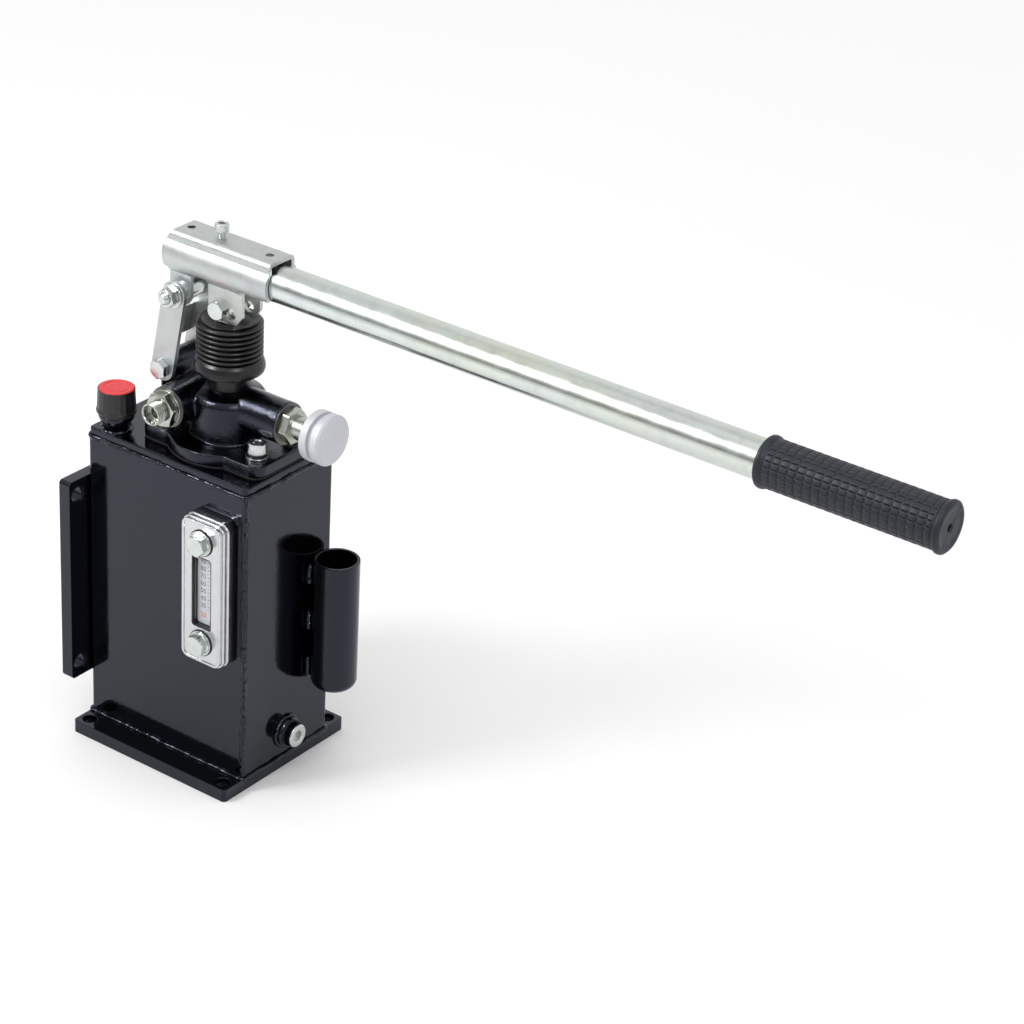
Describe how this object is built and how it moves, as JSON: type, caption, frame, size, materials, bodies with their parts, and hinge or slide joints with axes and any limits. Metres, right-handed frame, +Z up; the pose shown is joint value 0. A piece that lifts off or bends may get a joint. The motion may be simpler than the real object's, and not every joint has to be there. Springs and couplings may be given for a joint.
{
  "type": "hydraulic hand pump",
  "caption": "Lever-worked hydraulic hand pump on a welded steel oil tank with filler cap, level gauge, release knob, base and wall plates and a tube that stores the lever.",
  "frame": {"origin": "centre of the base plate's underside, which is the centre of its four-hole pattern", "axes": "+Z up, +X along the lever towards its grip, -Y the side of the level gauge and pressure port"},
  "size_m": [0.665, 0.1357, 0.4101],
  "materials": {
    "black_paint": "semi-gloss black powder coat",
    "cast_body": "gloss black paint over rough cast iron",
    "zinc_plate": "bright zinc plating with a faint yellow and violet tint",
    "bright_steel": "polished",
    "black_rubber": "matt moulded rubber",
    "seal_blue": "polyurethane",
    "cap_plastic": "satin moulded plastic",
    "cap_red": "satin moulded plastic",
    "gauge_glass": "clear",
    "gauge_white": "printed scale card",
    "knob_aluminium": "matt turned aluminium",
    "gland_bronze": "turned bronze"
  },
  "bodies": {
    "root": {"base_plate": "black_paint", "tank_shell": "black_paint", "tank_top_plate": "black_paint", "tank_welds": "black_paint", "wall_mount_plate": "black_paint", "lever_storage_tube": "black_paint", "storage_tube_welds": "black_paint", "filler_neck": "black_paint", "filler_strainer": "zinc_plate", "gauge_housing": "cap_plastic", "gauge_frame": "bright_steel", "gauge_window": "gauge_glass", "gauge_card": "gauge_white", "gauge_bolts": "zinc_plate", "gauge_washers": "zinc_plate", "gauge_seals": "black_rubber", "drain_boss": "black_paint", "drain_plug": "zinc_plate", "drain_seal": "black_rubber", "pump_body": "cast_body", "foot_gasket": "black_rubber", "foot_screws": "zinc_plate", "foot_spring_washers": "zinc_plate", "foot_washers": "zinc_plate", "suction_ball": "bright_steel", "suction_spring": "bright_steel", "suction_tube": "zinc_plate", "suction_strainer": "zinc_plate", "delivery_ball": "bright_steel", "delivery_spring": "bright_steel", "pressure_fitting": "zinc_plate", "port_washer": "zinc_plate", "release_cartridge": "zinc_plate", "gland_bush": "gland_bronze", "rod_seal": "seal_blue", "rod_wiper": "black_rubber", "link_lower_bolt": "zinc_plate", "link_lower_nut": "zinc_plate"},
    "piston": {"piston_rod": "bright_steel", "piston_seal": "seal_blue", "bellows": "black_rubber"},
    "lever_holder": {"lever_holder": "zinc_plate", "link_upper_bolt": "zinc_plate", "linkage_nuts": "zinc_plate", "linkage_washers": "zinc_plate", "ear_bush": "zinc_plate", "piston_pin_bolt": "zinc_plate"},
    "lock_screw": {"lock_screw": "zinc_plate"},
    "lever": {"lever_tube": "zinc_plate", "lever_grip": "black_rubber"},
    "links": {"link_near": "zinc_plate", "link_far": "zinc_plate", "link_web": "zinc_plate"},
    "release_feed": {"release_o_ring": "black_rubber"},
    "release_knob": {"release_knob": "knob_aluminium", "release_spindle": "bright_steel"},
    "filler_lift": {"filler_gasket": "black_rubber"},
    "filler_cap": {"filler_cap": "cap_plastic", "filler_cap_disc": "cap_red"}
  },
  "joints": [
    {"name": "piston_slide", "type": "slide", "parent": "root", "child": "piston", "axis": [0, 0, 1], "range_m": [-0.0048, 0.0212], "deforming": ["bellows"]},
    {"name": "lever_pump", "type": "hinge", "parent": "piston", "child": "lever_holder", "pos_m": [0.017, 0, 0.3515], "axis": [0, -1, 0], "range_deg": [-8, 36]},
    {"name": "link_swing", "type": "hinge", "parent": "root", "child": "links", "pos_m": [-0.0295, 0, 0.295], "axis": [0, 1, 0], "range_deg": [-0.9, 4]},
    {"name": "lever_pull_out", "type": "slide", "parent": "lever_holder", "child": "lever", "axis": [1, 0, 0], "range_m": [0, 0.09]},
    {"name": "lock_screw_turn", "type": "hinge", "parent": "lever_holder", "child": "lock_screw", "pos_m": [0.009, 0, 0.4], "axis": [0, 0, 1], "range_deg": [-180, 540]},
    {"name": "release_valve_feed", "type": "slide", "parent": "root", "child": "release_feed", "axis": [1, 0, 0], "range_m": [0, 0.0015]},
    {"name": "release_knob_turn", "type": "hinge", "parent": "release_feed", "child": "release_knob", "pos_m": [0.09, 0, 0.278], "axis": [-1, 0, 0], "range_deg": [0, 540]},
    {"name": "filler_cap_lift", "type": "slide", "parent": "root", "child": "filler_lift", "axis": [0, 0, 1], "range_m": [0, 0.0076]},
    {"name": "filler_cap_turn", "type": "hinge", "parent": "filler_lift", "child": "filler_cap", "pos_m": [-0.0565, -0.036, 0.27], "axis": [0, 0, 1], "range_deg": [0, 1800]}
  ],
  "couplings": [
    {"joint": "piston_slide", "follows": "lever_pump", "m_per_rad": 0.0335},
    {"joint": "link_swing", "follows": "lever_pump", "ratio": 0.11},
    {"joint": "release_valve_feed", "follows": "release_knob_turn", "m_per_rad": 0.00015915},
    {"joint": "filler_cap_lift", "follows": "filler_cap_turn", "m_per_rad": 0.00023873}
  ]
}
